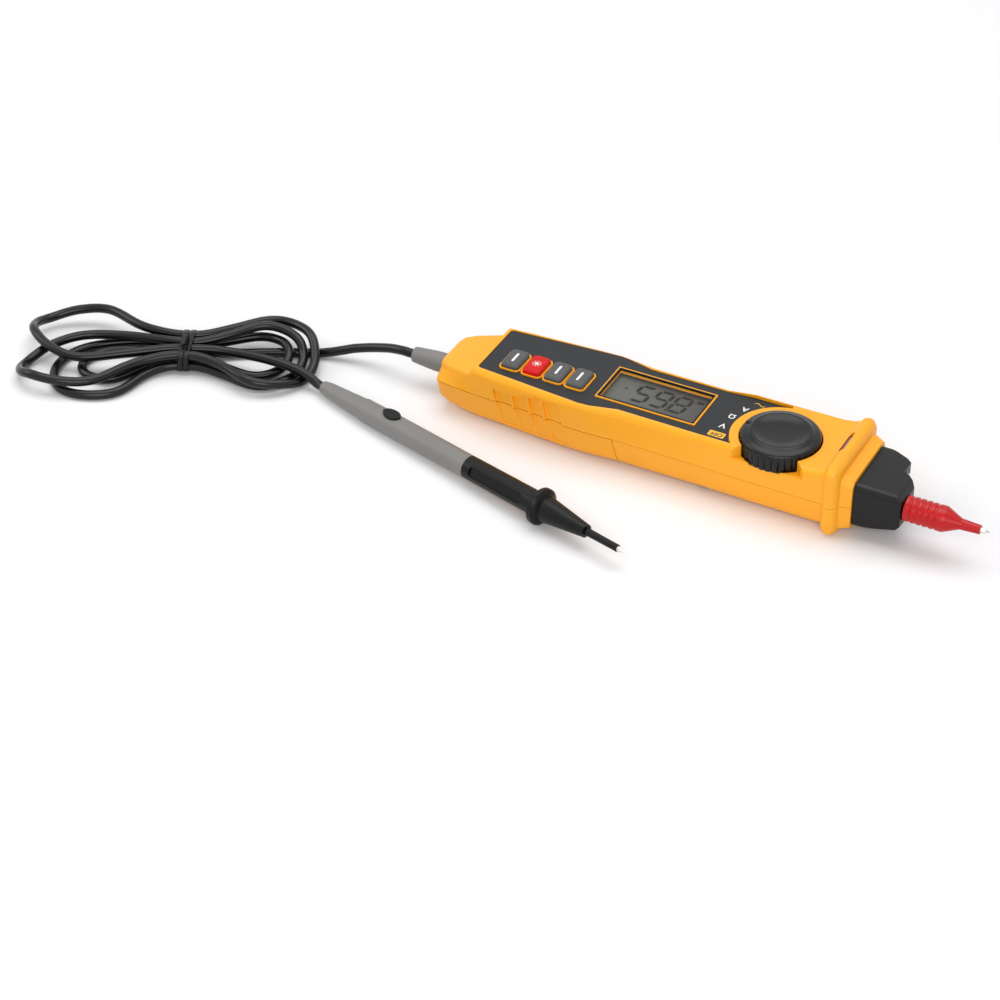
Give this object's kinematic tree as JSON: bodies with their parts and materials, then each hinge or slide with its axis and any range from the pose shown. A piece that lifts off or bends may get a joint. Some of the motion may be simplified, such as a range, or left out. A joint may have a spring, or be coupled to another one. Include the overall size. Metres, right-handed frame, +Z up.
{
  "type": "pen multimeter",
  "caption": "Slim pen-shaped multimeter with a display, keys, a round selector knob, a finger guard, a red probe at its nose and a tied black test lead that ends in a hand-held probe.",
  "frame": {"origin": "under the middle of the meter's length and width, on the surface it rests on", "axes": "+X along the meter towards the red probe's tip, +Y across it, away from the knob's overhanging side, +Z up out of the display"},
  "size_m": [0.3638, 0.0907, 0.0291],
  "materials": {
    "orange_plastic": "satin",
    "steel": "brushed",
    "label": "satin",
    "window": "gloss",
    "lcd": "gloss",
    "black_plastic": "satin",
    "silicone": "matte",
    "white_plastic": "satin",
    "board": "satin",
    "fuse_glass": "gloss",
    "brass": "satin",
    "grey_key": "matte",
    "red_key": "matte",
    "knob_plastic": "gloss",
    "red_lens": "gloss",
    "red_led": "gloss",
    "bezel": "satin",
    "clear_led": "gloss",
    "red_plastic": "gloss",
    "tip_metal": "polished",
    "cell": "gloss",
    "black_wire": "satin",
    "red_wire": "satin",
    "grey_plastic": "satin",
    "lead_rubber": "gloss",
    "tie": "gloss",
    "grip_plastic": "satin"
  },
  "bodies": {
    "meter": {"top_shell": "orange_plastic", "bottom_shell": "orange_plastic", "shell_screws": "steel", "panel_label": "label", "display_window": "window", "lcd_glass": "lcd", "lcd_frame": "black_plastic", "zebra_strips": "silicone", "backlight_plate": "white_plastic", "main_board": "board", "board_screws": "steel", "dome_switches": "steel", "meter_chip": "black_plastic", "buzzer": "black_plastic", "fuse": "fuse_glass", "fuse_clips": "brass", "detent_spring": "steel", "indicator_lens": "red_lens", "indicator_led": "red_led", "sensing_plate": "brass", "nose_cap": "black_plastic", "torch_bezel": "bezel", "torch_led": "clear_led", "probe_socket": "brass", "com_socket": "brass", "battery_cells": "cell", "battery_springs": "steel", "battery_contacts": "steel", "com_wire": "black_wire", "probe_wire": "red_wire"},
    "selector": {"selector_knob": "knob_plastic", "selector_rotor": "white_plastic", "wiper_contacts": "brass"},
    "select_key": {"key_select": "grey_key"},
    "light_key": {"key_light": "red_key"},
    "range_key": {"key_range": "grey_key"},
    "hold_key": {"key_hold": "grey_key"},
    "red_probe": {"red_probe_body": "red_plastic", "red_probe_pin": "tip_metal"},
    "cover": {"battery_cover": "orange_plastic", "cover_screw": "steel"},
    "test_lead": {"com_plug_body": "grey_plastic", "com_plug_pin": "tip_metal", "lead_to_hank": "lead_rubber", "lead_hank": "lead_rubber", "hank_tie": "tie", "lead_to_probe": "lead_rubber", "wand_boot": "grey_plastic", "wand_handle": "grey_plastic", "wand_lock_stud": "grip_plastic", "wand_grip": "grip_plastic", "wand_sleeve": "grip_plastic", "wand_pin": "tip_metal"}
  },
  "joints": [
    {"name": "selector_turn", "type": "hinge", "parent": "meter", "child": "selector", "pos_m": [0.0259, -0.0039, 0.02], "axis": [0, 0, 1], "range_deg": [-54, 18]},
    {"name": "select_press", "type": "slide", "parent": "meter", "child": "select_key", "axis": [0, 0, -1], "range_m": [0, 0.0008], "stiffness_N_per_m": 500},
    {"name": "light_press", "type": "slide", "parent": "meter", "child": "light_key", "axis": [0, 0, -1], "range_m": [0, 0.0008], "stiffness_N_per_m": 500},
    {"name": "range_press", "type": "slide", "parent": "meter", "child": "range_key", "axis": [0, 0, -1], "range_m": [0, 0.0008], "stiffness_N_per_m": 500},
    {"name": "hold_press", "type": "slide", "parent": "meter", "child": "hold_key", "axis": [0, 0, -1], "range_m": [0, 0.0008], "stiffness_N_per_m": 500},
    {"name": "probe_pull", "type": "slide", "parent": "meter", "child": "red_probe", "axis": [1, 0, 0], "range_m": [0, 0.014]},
    {"name": "lead_pull", "type": "slide", "parent": "meter", "child": "test_lead", "axis": [-1, 0, 0], "range_m": [0, 0.018]},
    {"name": "cover_lift", "type": "slide", "parent": "meter", "child": "cover", "axis": [0, 0, -1], "range_m": [0, 0.014]}
  ]
}
